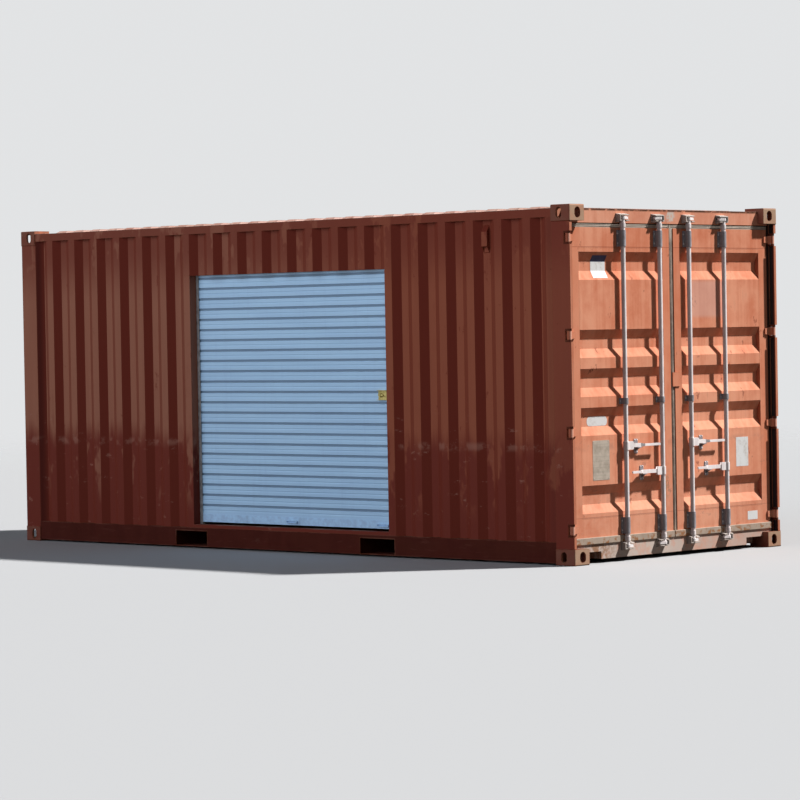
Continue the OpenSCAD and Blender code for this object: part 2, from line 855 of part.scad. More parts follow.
// Curtain: a sheet with grooves across it, from the bottom bar up to the coil
module shutter_curtain() {
    z0 = bar_z + bar_h;
    n = floor((coil_z - z0) / rib_pitch);
    out = curtain_y - rib_d / 2;
    in = curtain_y + rib_d / 2 - curtain_t;
    foot = groove_h + groove_slope;
    middle = (rib_pitch + foot + groove_slope) / 2;
    color([0.86, 0.9, 0.93])
        along_x(shutter_mid - curtain_half, shutter_mid + curtain_half)
            bent(concat(
                [[out, z0]],
                [for (i = [1 : n]) let (z = z0 + i * rib_pitch) each [
                    [out, z - middle - groove_h / 2], [out + crease_d, z - middle - groove_slope / 2],
                    [out + crease_d, z - middle + groove_slope / 2], [out, z - middle + groove_h / 2],
                    [out, z - foot - groove_slope], [in, z - foot], [in, z - groove_slope], [out, z]]],
                [[out, z0 + n * rib_pitch + groove_h], [in, z0 + n * rib_pitch + foot], [in, coil_z]]
            ), -curtain_t);
}

// Bottom bar: a stiffening section along the curtain's foot, with two lift handles
module shutter_bottom_bar() {
    w = guide_gap - curtain_gap;
    front = curtain_y - w / 2;
    color([0.82, 0.86, 0.9]) translate([shutter_mid, 0, bar_z]) {
        along_x(-curtain_half, curtain_half) difference() {
            translate([front, 0]) square([w, bar_h]);
            translate([front + bar_wall, bar_wall]) square([w - 2 * bar_wall, bar_h - 2 * bar_wall]);
        }
        for (x = [-lift_l / 4, curtain_half - lift_l])
            translate([x, front + bar_wall / 2, bar_h / 2 - lift_rim]) rotate([90, 0, 0])
                linear_extrude(lift_d + bar_wall / 2) difference() {
                    rounded(lift_l, lift_h);
                    rounded(lift_l - 2 * lift_rim, lift_h - 2 * lift_rim);
                }
    }
}

// A long outline with round ends
module rounded(l, h) {
    run = (l - h) / 2;
    for (s = [-1, 1]) translate([s * run, 0]) circle(d = h);
    square([2 * run, h], center = true);
}

// Coil: the wound curtain on its shaft
module shutter_coil() {
    half = shutter_half;
    drum = curtain_half;
    end = half + coil_plate_t;
    color([0.86, 0.9, 0.93]) translate([shutter_mid, coil_y, coil_z]) rotate([0, 90, 0])
        rotate_extrude($fn = 96) polygon([
            [0, -end], [coil_shaft_r, -end], [coil_shaft_r, -drum], [coil_r, -drum],
            [coil_r, drum], [coil_shaft_r, drum], [coil_shaft_r, end], [0, end]]);
}

// Slide latch on the curtain: a plate with folded edges, two straps and a bolt that reaches over the guide
module shutter_latch() {
    x1 = shutter_x1 - guide_lip - guide_t;
    y = curtain_y - rib_d / 2;
    lift = guide_gap / 2 + 2 * guide_t - rib_d / 2;
    strap_y = y - 2 * lift - latch_t;
    half = latch_h / 2;
    bolt = latch_h / 10;
    strap = latch_l / 7;
    color([0.8, 0.66, 0.25]) translate([0, 0, floor_top + latch_rise]) {
        block([x1 - latch_l, y - latch_t, -half], [x1, y, half]);
        for (z = [-half, half - latch_t])
            block([x1 - latch_l, strap_y, z], [x1, y, z + latch_t]);
        for (x = [x1 - latch_l + strap, x1 - 2 * strap]) difference() {
            block([x, strap_y, -2 * bolt], [x + strap, y, 2 * bolt]);
            block([x - 1, y - 2 * lift, bolt], [x + strap + 1, y - latch_t, 2 * bolt - latch_t]);
            block([x - 1, y - 2 * lift, latch_t - 2 * bolt], [x + strap + 1, y - latch_t, -bolt]);
        }
        block([x1 - latch_l + strap / 2, y - 2 * lift, -bolt], [shutter_x1 - latch_t, y - lift, bolt]);
        translate([x1 - latch_l / 2, y - lift, 0]) rotate([90, 0, 0])
            cylinder(r = bolt, h = 2 * lift + latch_t);
    }
}

// Vents: small covers in a valley of each side wall, open underneath
module vents() {
    valley = crest_x + side_pitch / 2;
    t = wall_t * 2;
    high = vent_h / 2;
    front = vent_front_h / 2;
    color(dark_red) for (v = [[valley + 7 * side_pitch, 0], [valley - 9 * side_pitch, 1]])
        translate([v[0], 0, roof_z - vent_drop]) mirror([0, v[1], 0]) translate([0, -skin_y + side_depth, 0])
            difference() {
                along_x(-vent_w / 2, vent_w / 2)
                    polygon([[-vent_d, front], [-vent_d, -front], [0, -high], [0, high]]);
                along_x(t - vent_w / 2, vent_w / 2 - t)
                    polygon([[t - vent_d, front - t], [t - vent_d, -high], [-t, -high - t], [-t, high - 3 * t]]);
            }
}

// Hinges: four a side. The pin stands in the post's outer corner
pin_x = door_face + pin_out;
pin_y = side_y - pin_in;
lug_span = blade_h + 2 * lug_h + 2 * lug_gap;
module hinge_spots() {
    pitch = (leaf_top - leaf_bottom - 2 * hinge_end) / 3;
    for (i = [0 : 3]) translate([0, 0, leaf_bottom + hinge_end + i * pitch]) children();
}

module hinge_lugs() {
    color(steel_grey) both_sides() hinge_spots() {
        for (s = [-1, 1]) translate([0, 0, s * (lug_span - lug_h) / 2 - lug_h / 2]) {
            translate([pin_x, -pin_y, 0]) cylinder(r = barrel_r, h = lug_h);
            block([jamb_x, -skin_y, 0], [pin_x, -pin_y + barrel_r, lug_h]);
        }
        translate([pin_x, -pin_y, -lug_span / 2]) cylinder(r = pin_r, h = lug_span);
    }
}

leaf_x = door_face - leaf_t;
leaf_out = jamb_y - leaf_gap;
leaf_in = centre_gap / 2;

// A door on the -Y side: two tubes upright, channels across, and four hinge blades
module door_frame() {
    t = leaf_wall;
    hinge_in = leaf_out - hinge_stile;
    centre_out = leaf_in + centre_stile;
    for (y = [[-leaf_out, -hinge_in], [-centre_out, -leaf_in]]) along_z(leaf_bottom, leaf_top) difference() {
        translate([leaf_x, y[0]]) square([leaf_t, y[1] - y[0]]);
        translate([leaf_x + t, y[0] + t]) square([leaf_t - 2 * t, y[1] - y[0] - 2 * t]);
    }
    for (z = [leaf_bottom, leaf_top - leaf_rail]) along_y(-hinge_in, -centre_out)
        bent([[leaf_x, z], [door_face, z], [door_face, z + leaf_rail], [leaf_x, z + leaf_rail]], t);
    hinge_spots() translate([0, -pin_y, 0]) difference() {
        intersection() {
            along_z(-blade_h / 2, blade_h / 2) {
                translate([pin_x, 0]) circle(r = barrel_r);
                polygon([
                    [door_face, 0], [door_face, blade_l], [door_face + blade_t, blade_l],
                    [door_face + blade_t, 2 * barrel_r], [pin_x + barrel_r / 4, 0.9 * barrel_r], [pin_x, 0]]);
            }
            along_x(door_face, end_x) polygon([
                [-barrel_r - 1, -blade_h / 2], [barrel_r, -blade_h / 2], [blade_l, -blade_end_h / 2],
                [blade_l, blade_end_h / 2], [barrel_r, blade_h / 2], [-barrel_r - 1, blade_h / 2]]);
        }
        translate([pin_x, 0, -blade_h / 2 - 1]) cylinder(r = pin_r + pin_play, h = blade_h + 2);
    }
}

// Heights of the recesses' top edges, in steps of the pitch down from the top one. The second place from
// the top and from the bottom stays flat, for labels and for the handles
recess_top = leaf_top - leaf_rail - recess_drop;
recess_last = floor((recess_top - recess_h - leaf_bottom - leaf_rail) / recess_pitch);
recess_steps = [for (k = [recess_last : -1 : 0]) if (k != 1 && k != recess_last - 1) k];

module door_panel() {
    front = door_face;
    back = door_face - recess_d;
    color(red) along_y(-leaf_out + hinge_stile, -leaf_in - centre_stile)
        bent(concat(
            [[front, leaf_bottom + leaf_rail]],
            [for (k = recess_steps) let (z = recess_top - k * recess_pitch) each [
                [front, z - recess_h], [back, z - recess_h + recess_slope],
                [back, z - recess_slope], [front, z]]],
            [[front, leaf_top - leaf_rail]]
        ), panel_t);
}

// Gasket round a door on the -Y side; lip is how far it reaches past the middle edge
module door_gasket(lip) {
    color(rubber) along_x(jamb_x - gasket_t, jamb_x) difference() {
        translate([-jamb_y + gasket_gap, sill_top + gasket_gap])
            square([jamb_y - gasket_gap - leaf_in + lip, header_z - sill_top - 2 * gasket_gap]);
        translate([-leaf_out, leaf_bottom]) square([leaf_out - leaf_in, leaf_top - leaf_bottom]);
    }
}

// Locking bars from left to right: place across, and the way that cam and handle point
rod_x = door_face + rod_stand;
rod_y = [-rod_outer, -rod_inner, rod_inner, rod_outer];
rod_way = [1, -1, 1, -1];
rod_handle = [handle_high, handle_low, handle_high, handle_low];
rod_retainer = [retainer_high, retainer_low, retainer_high, retainer_low];
rod_bore = rod_r + rod_play;
bearing_z = recess_top - (recess_last - 2) * recess_pitch + (recess_pitch - recess_h) / 2;
cam_top = header_z + cam_rise;
cam_bottom = sill_top - cam_drop;

// Stands its children at one bar's axis, turned so that the cam and the handle point to +Y
module at_bar(i) {
    translate([rod_x, rod_y[i], 0]) mirror([0, rod_way[i] < 0 ? 1 : 0, 0]) children();
}

// Bearings of one bar on its door: long brackets at both ends and a short one in the middle, each a
// strap bent round the bar with two flanges on the door
module bearings(i) {
    for (z = [[leaf_bottom + guard_lift, guard_h], [bearing_z - bearing_h / 2, bearing_h],
              [leaf_top - guard_drop - guard_h, guard_h]])
        at_bar(i) along_z(z[0], z[0] + z[1]) difference() {
            union() {
                translate([-rod_stand, -guard_w / 2]) square([guard_t, guard_w]);
                translate([-rod_stand, -rod_bore - guard_t]) square([rod_stand, 2 * (rod_bore + guard_t)]);
                circle(r = rod_bore + guard_t);
            }
            translate([-rod_stand - 1, -rod_bore]) square([rod_stand + 1, 2 * rod_bore]);
            circle(r = rod_bore);
        }
}

// Seat of one handle on its door: a plate with rounded corners, a ledge under the handle and a web below it
module retainer(i) {
    out = handle_t;
    half = retainer_w / 2;
    at_bar(i) translate([0, rod_retainer[i], rod_handle[i] - handle_h / 2 - ledge_gap]) {
        translate([-rod_stand, 0, ledge_t + ledge_gap]) rotate([90, 0, 90])
            linear_extrude(retainer_t) plate(retainer_w, retainer_h, half / 2);
        block([-rod_stand, -half, -ledge_t], [out, half, 0]);
        along_y(-ledge_t / 2, ledge_t / 2)
            polygon([[-rod_stand, -5 * ledge_t], [retainer_t - rod_stand, -5 * ledge_t],
                     [out, -ledge_t], [-rod_stand, -ledge_t]]);
    }
}

// A rectangle about the origin with rounded corners
module plate(l, h, r) {
    square([l - 2 * r, h], center = true);
    square([l, h - 2 * r], center = true);
    for (x = [-1, 1], y = [-1, 1]) translate([x * (l / 2 - r), y * (h / 2 - r)]) circle(r = r);
}

module door_brackets(rods) {
    color(steel_grey) for (i = rods) {
        bearings(i);
        retainer(i);
    }
}

// A bar: a closed tube. Its cams, collars and the sleeve with its handle's pin are rings round it
module locking_bar(i) {
    z0 = cam_bottom - cam_h / 2;
    z1 = cam_top + cam_h / 2;
    zh = rod_handle[i];
    ring_r = rod_r + weld_gap;
    keeper_half = cam_h / 2 + keeper_gap + keeper_t;
    side = handle_t / 2 + sleeve_gap;
    color(steel_grey) at_bar(i) {
        difference() {
            translate([0, 0, z0]) cylinder(r = rod_r, h = z1 - z0);
            translate([0, 0, z0 + rod_wall]) cylinder(r = rod_r - rod_wall, h = z1 - z0 - 2 * rod_wall);
        }
        for (z = [cam_bottom, cam_top]) translate([0, 0, z - cam_h / 2]) difference() {
            linear_extrude(cam_h) {
                circle(r = cam_r);
                polygon([[-cam_r, 0], [cam_r, 0], [cam_nose / 2, cam_reach], [-cam_nose / 2, cam_reach]]);
            }
            translate([0, 0, -1]) cylinder(r = ring_r, h = cam_h + 2);
        }
        for (z = [cam_bottom + keeper_half + collar_gap, cam_top - keeper_half - collar_gap - collar_h])
            translate([0, 0, z]) difference() {
                cylinder(r = collar_r, h = collar_h);
                translate([0, 0, -1]) cylinder(r = ring_r, h = collar_h + 2);
            }
        translate([0, 0, zh]) difference() {
            union() {
                translate([0, 0, -sleeve_h / 2]) cylinder(r = cam_r, h = sleeve_h);
                for (x = [-side - sleeve_t, side]) translate([x, 0, 0]) {
                    translate([0, handle_pin, 0]) rotate([90, 0, 90])
                        linear_extrude(sleeve_t) plate(2 * (sleeve_l - handle_pin), sleeve_h, cam_r / 2);
                    block([0, 0, -sleeve_h / 2], [sleeve_t, handle_pin, sleeve_h / 2]);
                }
                translate([-side - sleeve_t, handle_pin, 0]) rotate([0, 90, 0])
                    cylinder(r = handle_pin_r, h = 2 * (side + sleeve_t));
            }
            translate([0, 0, -sleeve_h]) cylinder(r = ring_r, h = 2 * sleeve_h);
        }
    }
}

// A handle: a flat bar that turns on its pin, bent out past its seat and narrower at the grip
module handle(i) {
    bend = rod_retainer[i] - handle_pin + retainer_w / 2;
    tip = handle_l;
    color(steel_grey) at_bar(i) translate([0, handle_pin, rod_handle[i]]) difference() {
        intersection() {
            along_z(-handle_h / 2, handle_h / 2) bent([
                [handle_t / 2, -handle_h], [handle_t / 2, bend], [handle_t / 2 + handle_bend, bend + handle_h],
                [handle_t / 2 + handle_bend, tip]], handle_t);
            along_x(-handle_t, handle_t + handle_bend) {
                circle(r = handle_h / 2);
                polygon([[0, -handle_h / 2], [bend, -handle_h / 2], [bend + handle_h, -grip_h / 2],
                         [tip - grip_h / 2, -grip_h / 2], [tip - grip_h / 2, grip_h / 2],
                         [bend + handle_h, grip_h / 2], [bend, handle_h / 2], [0, handle_h / 2]]);
                translate([tip - grip_h / 2, 0]) circle(r = grip_h / 2);
            }
        }
        rotate([0, 90, 0]) translate([0, 0, -handle_t])
            cylinder(r = handle_pin_r + pin_play, h = 2 * handle_t);
    }
}

// Keepers on the header and the sill: two ears and a cheek round each cam. The inner ear has a slot for
// the bar, and the ears slope on the outside
module bar_keepers() {
    low = -keeper_back;
    high = cam_reach + keeper_t / 4;
    half = cam_h / 2 + keeper_gap;
    out = keeper_out;
    color(steel_grey) for (i = [0 : 3], end = [[cam_bottom, 1], [cam_top, 0]])
        translate([0, 0, end[0]]) mirror([0, 0, end[1]]) at_bar(i) {
            block([-rod_stand, low, -half - keeper_t], [keeper_plate - rod_stand, high, half + keeper_t]);
            block([-rod_stand, low, -half - keeper_tip], [out, low + keeper_tip, half + keeper_tip]);
            along_y(low, high)
                polygon([[-rod_stand, half], [out, half], [out, half + keeper_tip],
                         [-rod_stand, half + keeper_t]]);
            difference() {
                along_y(low, high)
                    polygon([[-rod_stand, -half], [out, -half], [out, -half - keeper_tip],
                             [-rod_stand, -half - keeper_t]]);
                block([-keeper_slot, -keeper_slot, -half - keeper_t - 1],
                      [out + 1, keeper_slot, 1 - half]);
            }
        }
}

module left_door_frame() {
    color(red) door_frame();
}

module left_door_panel() {
    door_panel();
}

module left_door_gasket() {
    door_gasket(gasket_lip);
}

module left_door_brackets() {
    door_brackets([0, 1]);
}

// The right door also carries the plate that laps over the left door's edge
module right_door_frame() {
    color(red) {
        mirror([0, 1, 0]) door_frame();
        translate([door_face, leaf_in - overlap_reach, bearing_z + overlap_rise])
            cube([overlap_t, overlap_w, overlap_h]);
    }
}

module right_door_panel() {
    mirror([0, 1, 0]) door_panel();
}

module right_door_gasket() {
    mirror([0, 1, 0]) door_gasket(centre_gap - gasket_lip - gasket_split);
}

module right_door_brackets() {
    door_brackets([2, 3]);
}

module locking_bar_1() { locking_bar(0); }
module locking_bar_2() { locking_bar(1); }
module locking_bar_3() { locking_bar(2); }
module locking_bar_4() { locking_bar(3); }
module handle_1() { handle(0); }
module handle_2() { handle(1); }
module handle_3() { handle(2); }
module handle_4() { handle(3); }

bottom_corner_castings();
top_corner_castings();
front_corner_posts();
rear_corner_posts();
top_side_rails();
bottom_side_rails();
front_top_rail();
front_bottom_rail();
door_header();
door_sill();
cross_members();
fork_pockets();
floor_boards();
roof_sheet();
roof_corner_plates();
side_wall_front_part();
side_wall_rear_part();
side_wall_over_shutter();
far_side_wall();
front_wall();
shutter_frame();
shutter_guides();
shutter_curtain();
shutter_bottom_bar();
shutter_coil();
shutter_latch();
vents();
hinge_lugs();
bar_keepers();
left_door_frame();
left_door_panel();
left_door_gasket();
left_door_brackets();
right_door_frame();
right_door_panel();
right_door_gasket();
right_door_brackets();
locking_bar_1();
locking_bar_2();
locking_bar_3();
locking_bar_4();
handle_1();
handle_2();
handle_3();
handle_4();
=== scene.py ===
import math
import bmesh
import bpy
from mathutils import Matrix, Vector


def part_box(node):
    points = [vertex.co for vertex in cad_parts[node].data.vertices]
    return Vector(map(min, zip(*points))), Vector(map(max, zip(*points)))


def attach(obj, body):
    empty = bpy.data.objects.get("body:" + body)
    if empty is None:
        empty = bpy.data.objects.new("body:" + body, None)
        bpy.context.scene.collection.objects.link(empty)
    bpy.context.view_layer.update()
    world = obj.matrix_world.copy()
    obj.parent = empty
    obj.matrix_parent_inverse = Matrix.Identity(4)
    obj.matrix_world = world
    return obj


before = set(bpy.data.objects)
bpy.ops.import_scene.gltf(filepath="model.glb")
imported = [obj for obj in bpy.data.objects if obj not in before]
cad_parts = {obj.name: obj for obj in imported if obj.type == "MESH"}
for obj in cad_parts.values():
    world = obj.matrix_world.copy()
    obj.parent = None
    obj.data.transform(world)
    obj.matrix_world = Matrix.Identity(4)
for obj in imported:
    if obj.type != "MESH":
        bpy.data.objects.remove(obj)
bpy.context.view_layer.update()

# The view: a camera at the photograph's viewing angle, one soft key lamp high behind the door end, a dim sky
# with a broad soft light on the long side, and a plain pale floor that fades into the same pale backdrop
camera_place = Vector((18.3143, -19.0747, 1.7148))
camera_azimuth = math.radians(43.563)
camera_elevation = math.radians(1.2265)
camera_roll = math.radians(-1.021)
sensor_width = 36
focal_pixels = 3290.13
frame_pixels = 800
key_from = Vector((1, 1.3, 2))
key_strength = 6.1
key_softness = math.radians(3)
sky_dim = (0.045, 0.048, 0.055)
sky_side = (2.05, 2.23, 2.55)
backdrop = (0.76, 0.77, 0.78)
floor_seen = (0.42, 0.42, 0.42)
floor_lit = (0.09, 0.082, 0.075)
floor_radius = 60
floor_fade_from = 12
floor_fade_to = 34
far_clip = 500

back = Vector((
    math.sin(camera_azimuth) * math.cos(camera_elevation),
    -math.cos(camera_azimuth) * math.cos(camera_elevation),
    math.sin(camera_elevation),
))
level = (-back).cross(Vector((0, 0, 1))).normalized()
upright = level.cross(-back)
right = level * math.cos(camera_roll) + upright * math.sin(camera_roll)
up = upright * math.cos(camera_roll) - level * math.sin(camera_roll)
camera = bpy.data.objects.new("camera", bpy.data.cameras.new("camera"))
camera.data.sensor_width = sensor_width
camera.data.lens = focal_pixels / frame_pixels * sensor_width
camera.data.clip_end = far_clip
camera.matrix_world = Matrix.Translation(camera_place) @ Matrix((right, up, back)).transposed().to_4x4()
bpy.context.scene.collection.objects.link(camera)
bpy.context.scene.camera = camera
bpy.context.scene.view_settings.view_transform = "Standard"

key = bpy.data.objects.new("key", bpy.data.lights.new("key", "SUN"))
key.data.energy = key_strength
key.data.angle = key_softness
key.matrix_world = key_from.to_track_quat("Z", "Y").to_matrix().to_4x4()
bpy.context.scene.collection.objects.link(key)


class Shade:
    """A value in a shader tree. Sums on it add Math nodes, and node() adds any other node."""

    def __init__(self, tree, socket=None):
        self.tree = tree
        self.socket = socket

    def node(self, kind, settings=None, sockets=None, out=0):
        new = self.tree.nodes.new("ShaderNode" + kind)
        for name, value in (settings or {}).items():
            setattr(new, name, value)
        for name, value in (sockets or {}).items():
            if isinstance(value, Shade):
                self.tree.links.new(value.socket, new.inputs[name])
            else:
                new.inputs[name].default_value = value
        return Shade(self.tree, new.outputs[out])

    def math(self, operation, first, second):
        return self.node("Math", {"operation": operation}, {0: first, 1: second})

    def __add__(self, other):
        return self.math("ADD", self, other)

    def __radd__(self, other):
        return self.math("ADD", other, self)

    def __sub__(self, other):
        return self.math("SUBTRACT", self, other)

    def __rsub__(self, other):
        return self.math("SUBTRACT", other, self)

    def __mul__(self, other):
        return self.math("MULTIPLY", self, other)

    def __rmul__(self, other):
        return self.math("MULTIPLY", other, self)

    def __abs__(self):
        return self.math("ABSOLUTE", self, 0)

    def larger(self, other):
        return self.math("MAXIMUM", self, other)

    def rise(self, low, high):
        """0 below low, 1 above high and a smooth rise between; with high below low, a fall."""
        ends = {1: min(low, high), 2: max(low, high), 3: float(low > high), 4: float(low < high)}
        return self.node("MapRange", {"interpolation_type": "SMOOTHSTEP"}, {0: self, **ends})

    def band(self, low, high, soft):
        """1 between low and high, with soft ends."""
        return self.rise(low - soft, low + soft) * self.rise(high + soft, high - soft)

    def axis(self, number):
        return self.node("SeparateXYZ", None, {0: self}, number)

    def stretched(self, scale):
        return self.node("VectorMath", {"operation": "MULTIPLY"}, {0: self, 1: scale})

    def noise(self, scale, detail=4, rough=0.55):
        sockets = {"Vector": self, "Scale": scale, "Detail": detail, "Roughness": rough}
        return self.node("TexNoise", None, sockets)

    def mix(self, first, second):
        """The first colour where this value is 0, and the second where it is 1."""
        first = first if isinstance(first, Shade) else (*first, 1)
        second = second if isinstance(second, Shade) else (*second, 1)
        return self.node("Mix", {"data_type": "RGBA"}, {0: self, 6: first, 7: second}, 2)

    def bump(self, depth, edge=0.0015):
        """The normal of this height, over edges that are eased by a small radius."""
        eased = self.node("Bevel", {"samples": 4}, {"Radius": edge})
        return self.node("Bump", None, {"Height": self, "Distance": depth, "Normal": eased})


world = bpy.data.worlds.new("sky")
bpy.context.scene.world = world
world.use_nodes = True
rays = world.node_tree.nodes.new("ShaderNodeLightPath").outputs
seen = Shade(world.node_tree, rays["Is Camera Ray"])
mirrored = Shade(world.node_tree, rays["Is Glossy Ray"])
passed = Shade(world.node_tree, rays["Is Transmission Ray"])
towards = Shade(world.node_tree).node("TexCoord")
side_light = (0 - towards.axis(1)).rise(0.45, 0.95) * towards.axis(0).rise(0.5, -0.1)
sky = seen.larger(mirrored).larger(passed).mix(side_light.mix(sky_dim, sky_side), backdrop)
world.node_tree.links.new(sky.socket, world.node_tree.nodes["Background"].inputs["Color"])


def surface(name):
    """A new material, its main shader, and the point and the facing on the object."""
    made = bpy.data.materials.new(name)
    made.use_nodes = True
    tree = Shade(made.node_tree)
    shader = made.node_tree.nodes["Principled BSDF"]
    return made, shader, tree.node("TexCoord", out=3), tree.node("TexCoord", out=1)


def feed(shader, sockets):
    """Links values to a shader's sockets, and sets its numbers and colours."""
    for name, value in sockets.items():
        if isinstance(value, Shade):
            value.tree.links.new(value.socket, shader.inputs[name])
        elif isinstance(value, tuple):
            shader.inputs[name].default_value = (*value, 1)
        else:
            shader.inputs[name].default_value = value


floor_mesh = bpy.data.meshes.new("floor")
ground = bmesh.new()
bmesh.ops.create_circle(ground, cap_ends=True, segments=96, radius=floor_radius)
ground.to_mesh(floor_mesh)
ground.free()
floor = bpy.data.objects.new("floor", floor_mesh)
bpy.context.scene.collection.objects.link(floor)
floor_paint, floor_shader, floor_point, _ = surface("floor")
floor_mesh.materials.append(floor_paint)
floor_colour = floor_point.node("LightPath").mix(floor_lit, floor_seen)
feed(floor_shader, {"Base Color": floor_colour, "Roughness": 0.9, "Specular IOR Level": 0.1})
distance = floor_point.node("VectorMath", {"operation": "LENGTH"}, {0: floor_point}, 1)
faded_floor = floor_point.node("MixShader", None, {
    0: distance.rise(floor_fade_from, floor_fade_to),
    1: Shade(floor_paint.node_tree, floor_shader.outputs[0]),
    2: floor_point.node("BsdfTransparent"),
})
floor_output = floor_paint.node_tree.nodes["Material Output"]
floor_paint.node_tree.links.new(faded_floor.socket, floor_output.inputs["Surface"])

# Paint: one old coat of container red over the whole box. The long sides kept their red on the sloped faces,
# under the roof and low down, where they were touched up, and faded to brown on the flat strips between.
# The sloped faces are also painted darker as painted shade, and the slopes of the near side that face the
# front end are painted lighter as painted light.
# The sun bleached the faces towards the door end to salmon. That salmon is also painted sunlight, and
# the long sides' darker red is also painted shade
side_deep = (0.165, 0.026, 0.014)
side_red = (0.185, 0.034, 0.021)
side_worn = (0.345, 0.132, 0.08)
side_browned = (0.32, 0.09, 0.047)
sun_deep = (0.61, 0.185, 0.095)
sun_worn = (0.82, 0.365, 0.225)
scuff_pink = (0.4, 0.19, 0.135)
rust_dark = (0.075, 0.03, 0.016)
rust_light = (0.3, 0.12, 0.04)
dust = (0.42, 0.34, 0.27)
touched_up_to = 0.87
under_roof = (1.95, 2.42)
film_shade = 0.36


def edge_wear(at, radius):
    """1 on a sharp edge and 0 on a flat face."""
    rounded = at.node("Bevel", {"samples": 6}, {"Radius": radius})
    true_normal = at.node("NewGeometry", out=1)
    along = at.node("VectorMath", {"operation": "DOT_PRODUCT"}, {0: rounded, 1: true_normal}, 1)
    return along.rise(0.985, 0.8)


def old_paint(name, bleached_and_sunlit=1.0, rust=0.4, film=0.0, faded=1.0, marks=None):
    """Old paint, bleached and painted sunlit on +X faces; film is how dark the road dirt is, marks adds a
    colour layer.
    """
    made, shader, at, facing = surface(name)
    height = at.axis(2)
    broad = at.noise(0.6, 2)
    runs = at.stretched((17, 17, 0.9)).noise(1, 4, 0.6)
    patches = at.noise(6, 5, 0.65)
    speckle = at.noise(75, 3, 0.7)
    # Flat faces take the faded colours; the sloped faces keep side_deep, partly less faded paint and partly
    # painted shade
    flat = abs(facing.axis(0)).larger(abs(facing.axis(1))).larger(abs(facing.axis(2))).rise(0.9, 0.97)
    # +X faces take the sun colours: bleached paint and painted sunlight. The rest are painted as in shade
    bleached_and_sunlit_faces = facing.axis(0).rise(0.55, 0.8) * bleached_and_sunlit
    up = facing.axis(2).rise(0.5, 0.9)

    # Painted light: slopes of the near side that face the front end are lifted towards the faded flats
    painted_light_slopes = facing.axis(0).rise(-0.25, -0.42) * facing.axis(1).rise(0.5, -0.5)
    flat = flat.larger(painted_light_slopes * 0.4)
    above = (height + broad * 0.25 + runs * 0.25).rise(touched_up_to + 0.17, touched_up_to + 0.4)
    open_sky = height.rise(under_roof[1], under_roof[0]) * 0.7 + 0.3
    missed = at.stretched((4, 4, 1.7)).noise(1, 4, 0.65).rise(0.53, 0.6) * height.rise(0.25, 0.6) * 0.75
    fade = (above * open_sky).larger(missed) * (runs * 0.5 + 0.72) * faded
    worn = at.axis(0).rise(-1, 1.5).mix(side_worn, side_browned)
    shade_side = flat.mix(side_deep, fade.mix(side_red, worn))
    chalk = (broad * 0.4 + patches * 0.35 + runs * 0.35).rise(0.38, 0.72)
    sun_side = chalk.mix(sun_deep, sun_worn)
    colour = bleached_and_sunlit_faces.mix(shade_side, sun_side)

    grime = (runs * 0.6 + patches * 0.45).rise(0.58, 0.78)
    chafed = at.stretched((9, 9, 6)).noise(1, 4, 0.7).rise(0.64, 0.7)
    colour = (grime * 0.3).larger(chafed * 0.6).mix(colour, side_deep)
    scuffed = at.stretched((7, 7, 16)).noise(1, 5, 0.7).rise(0.63, 0.7) * height.rise(1.25, 0.85)
    knocked = height.band(touched_up_to - 0.05, touched_up_to, 0.02) * patches.rise(0.5, 0.6)
    colour = (scuffed * 0.5).larger(knocked * 0.4).mix(colour, scuff_pink)
    settled = (up * 0.6) * patches.rise(0.42, 0.65)
    colour = settled.mix(colour, dust)
    if film:
        road = (0.8 + patches * 0.35 - runs * 0.2) * film
        colour = road.mix(colour, tuple(part * film_shade for part in side_deep))
    if marks:
        colour = marks(at, colour)

    chipped = (edge_wear(at, 0.007) * (patches * 1.3 + speckle * 0.5)).rise(0.6, 0.8) * rust
    spots = (speckle * 0.55 + patches * 0.6).rise(0.8, 0.88) * rust
    bare = chipped.larger(spots)
    rusty = speckle.rise(0.35, 0.65).mix(rust_dark, rust_light)
    waves = at.stretched((2.2, 2.2, 1.1)).noise(1, 2)
    relief = waves * 1.2 + patches * 0.12 + speckle * 0.04 - bare * 0.25
    feed(shader, {
        "Base Color": bare.mix(colour, rusty),
        "Roughness": 0.55 + settled * 0.2 + bare * 0.3 + patches * 0.15,
        "Specular IOR Level": 0.06,
        "Normal": relief.bump(0.004),
    })
    return made


# Corner castings: eight cast steel blocks with long holes in three faces, welded to the posts and painted
# with them. Handling knocks the paint off their edges, and the lower ones take the road's dust
casting_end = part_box("top_corner_castings")[1].x
handled_brown = (0.22, 0.1, 0.065)
dusty_end = (0.46, 0.3, 0.2)


def casting_marks(at, colour):
    handled = at.noise(9, 4).rise(0.3, 0.6) * 0.4 + 0.2
    colour = handled.mix(colour, handled_brown)
    end = at.axis(0).rise(casting_end - 0.004, casting_end - 0.001)
    return (end * (handled + 0.35)).mix(colour, dusty_end)


def finish(material, *names):
    """Gives CAD nodes their material."""
    for name in names:
        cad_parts[name].data.materials.clear()
        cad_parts[name].data.materials.append(material)


finish(old_paint("casting_paint", bleached_and_sunlit=0.8, rust=0.95, faded=0.7, marks=casting_marks),
       "bottom_corner_castings", "top_corner_castings")

# Posts, rails and walls: pressed steel sheet and sections, welded into one box. The corners between the posts
# and the walls are painted darker as painted shade, and so is the deep hollow of each rear post by the doors
corner_shade_from = (2.77, 2.83)
corner_shade_depth = (1.216, 1.208)
corner_shade_colour = (0.04, 0.005, 0.004)
post_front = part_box("rear_corner_posts")[1].x
post_hollow_x = (2.85, 2.9)
post_hollow_y = (1.2, 1.19)
post_hollow_shade = (0.03, 0.022, 0.022)


